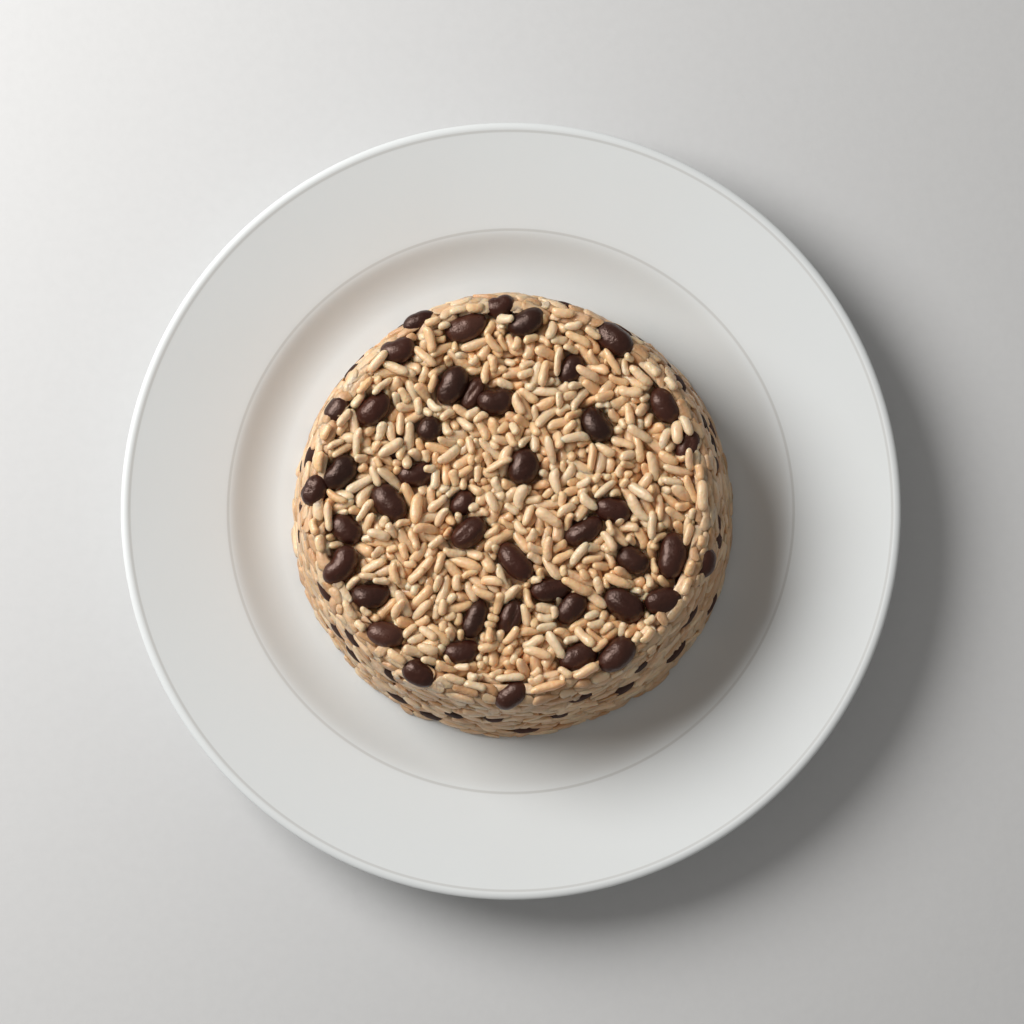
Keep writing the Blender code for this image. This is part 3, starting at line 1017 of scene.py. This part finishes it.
def glazeFinish(name):
    f = Finish(name)
    place = position(f)
    split = f.add("ShaderNodeVectorMath", {"operation": "MULTIPLY"}, {0: place, 1: (1.0, 1.0, 0.0)})
    reach = f.add("ShaderNodeVectorMath", {"operation": "LENGTH"}, {0: split}, out=1)
    cloud = f.noise(place, 28.0, 3.0, 0.5)
    fine = f.noise(place, 420.0, 2.0, 0.5)
    # the rim's share; the well inside it gets the darker glaze, painted shade
    rim = f.ramp(reach, 0.090, 0.098)
    colour = f.blend(rim, glazeLook["well"], glazeLook["rim"])
    colour = f.blend(f.ramp(cloud, 0.35, 0.8) * 0.10, colour, glazeLook["cloud"])
    # thin dark rings painted where creases would lie in shade
    for line, half, strength in glazeLook["creaseShadeLines"]:
        off = reach.distanceFrom(line * mm)
        creaseShade = 1.0 - f.ramp(off, half * 0.3 * mm, half * mm)
        colour = f.blend(creaseShade * strength, colour, glazeLook["line"])
    f.set(
        colour=colour, roughness=0.42 + cloud * 0.08, specular=0.42,
        normal=f.bump(cloud * 0.8 + fine * 0.2, 0.08, 0.0012),
    )
    return f


def floorFinish(name):
    f = Finish(name)
    place = position(f)
    grain = f.noise(place, 260.0, 4.0, 0.6)
    colour = f.blend(f.ramp(grain, 0.3, 0.75) * 0.5, (0.665, 0.670, 0.674), (0.640, 0.646, 0.650))
    f.set(colour=colour, roughness=0.85, specular=0.2, normal=f.bump(grain, 0.10, 0.0006))
    return f


looseRice = riceFinish("looseRice")
pressedRice = riceFinish("pressedRice")
beanSkin = beanFinish("blackBeanSkin")
glaze = glazeFinish("whiteGlaze")

wallPoints, wallFaces, wallLooks, sideBeans = layWall()
riceSide = meshPiece("rice_side", wallPoints, wallFaces, pressedRice, wallLooks)
underMesh, upperMesh, upperBeans = layTop()
riceUnder = meshPiece("rice_under", underMesh[0].reshape(-1, 3), underMesh[1], looseRice, underMesh[2])
riceTop = meshPiece("rice_top", upperMesh[0].reshape(-1, 3), upperMesh[1], looseRice, upperMesh[2])
beanPoints, beanFaces, beanLooks = joinBeans(upperBeans + sideBeans)
blackBeans = meshPiece("black_beans", beanPoints, beanFaces, beanSkin, beanLooks)
corePoints, coreFaces = coreBody()
# the core takes a deep look, so it is painted dark brown as the shade seen in the gaps
coreLooks = np.tile([0.5, 0.9, 0.5, 1.0], (len(corePoints), 1))
riceCore = meshPiece("rice_core", corePoints, coreFaces, looseRice, coreLooks)
platePoints, plateFaces = turned(plateProfile(), plate["steps"])
dinnerPlate = meshPiece("dinner_plate", platePoints, plateFaces, glaze)

for piece in (riceSide, riceUnder, riceTop, blackBeans, riceCore):
    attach(piece, "root")
    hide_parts("rice_and_beans")
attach(dinnerPlate, "root")
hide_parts("plate")

for piece in (riceSide, riceUnder, riceTop, blackBeans, riceCore, dinnerPlate):
    print(piece.name, sum(len(face.vertices) - 2 for face in piece.data.polygons), "triangles")


floorSize = 3000.0
floorPoints = [(x * floorSize, y * floorSize, 0) for x, y in ((-1, -1), (1, -1), (1, 1), (-1, 1))]
floor = meshPiece("floor", floorPoints, [(0, 1, 2, 3)], floorFinish("paleFloor"))

light = {
    "turn": 151.0,  # degrees from +X, where the light comes from
    "rise": 41.5,
    "far": 0.92,
    "aim": (0.0, 0.0, 0.02),
    "across": 0.60,
    "power": 9.4,
    "colour": (1.0, 0.985, 0.965),
    "sky": (1.0, 0.97, 0.935),
    "skyStrength": 0.24,
}
camera = {
    "far": 0.900,
    "lens": 94.68,
    "tilt": 5.0,
    "aim": (0.0004, -0.00167, 0.0225),
}


def aimed(obj, place, target):
    obj.location = place
    obj.rotation_euler = (Vector(target) - Vector(place)).to_track_quat("-Z", "Y").to_euler()


keyData = bpy.data.lights.new("window", "AREA")
keyData.shape = "DISK"
keyData.size = light["across"]
keyData.energy = light["power"]
keyData.color = light["colour"]
key = bpy.data.objects.new("window", keyData)
bpy.context.scene.collection.objects.link(key)
turn, rise = math.radians(light["turn"]), math.radians(light["rise"])
towardsKey = Vector((math.cos(rise) * math.cos(turn), math.cos(rise) * math.sin(turn), math.sin(rise)))
aimed(key, towardsKey * light["far"], light["aim"])

world = bpy.data.worlds.new("room")
world.use_nodes = True
world.node_tree.nodes["Background"].inputs["Color"].default_value = (*light["sky"], 1.0)
world.node_tree.nodes["Background"].inputs["Strength"].default_value = light["skyStrength"]
bpy.context.scene.world = world
bpy.context.scene.view_settings.view_transform = "Standard"
bpy.context.scene.view_settings.look = "None"

cameraData = bpy.data.cameras.new("camera")
cameraData.lens = camera["lens"]
cameraData.sensor_width = 36.0
cameraData.clip_start = 0.01
view = bpy.data.objects.new("camera", cameraData)
bpy.context.scene.collection.objects.link(view)
tilt = math.radians(camera["tilt"])
aim = Vector(camera["aim"])
view.location = aim + Vector((0.0, -math.sin(tilt), math.cos(tilt))) * camera["far"]
view.rotation_euler = (tilt, 0.0, 0.0)
bpy.context.scene.camera = view
print("light and camera are set")
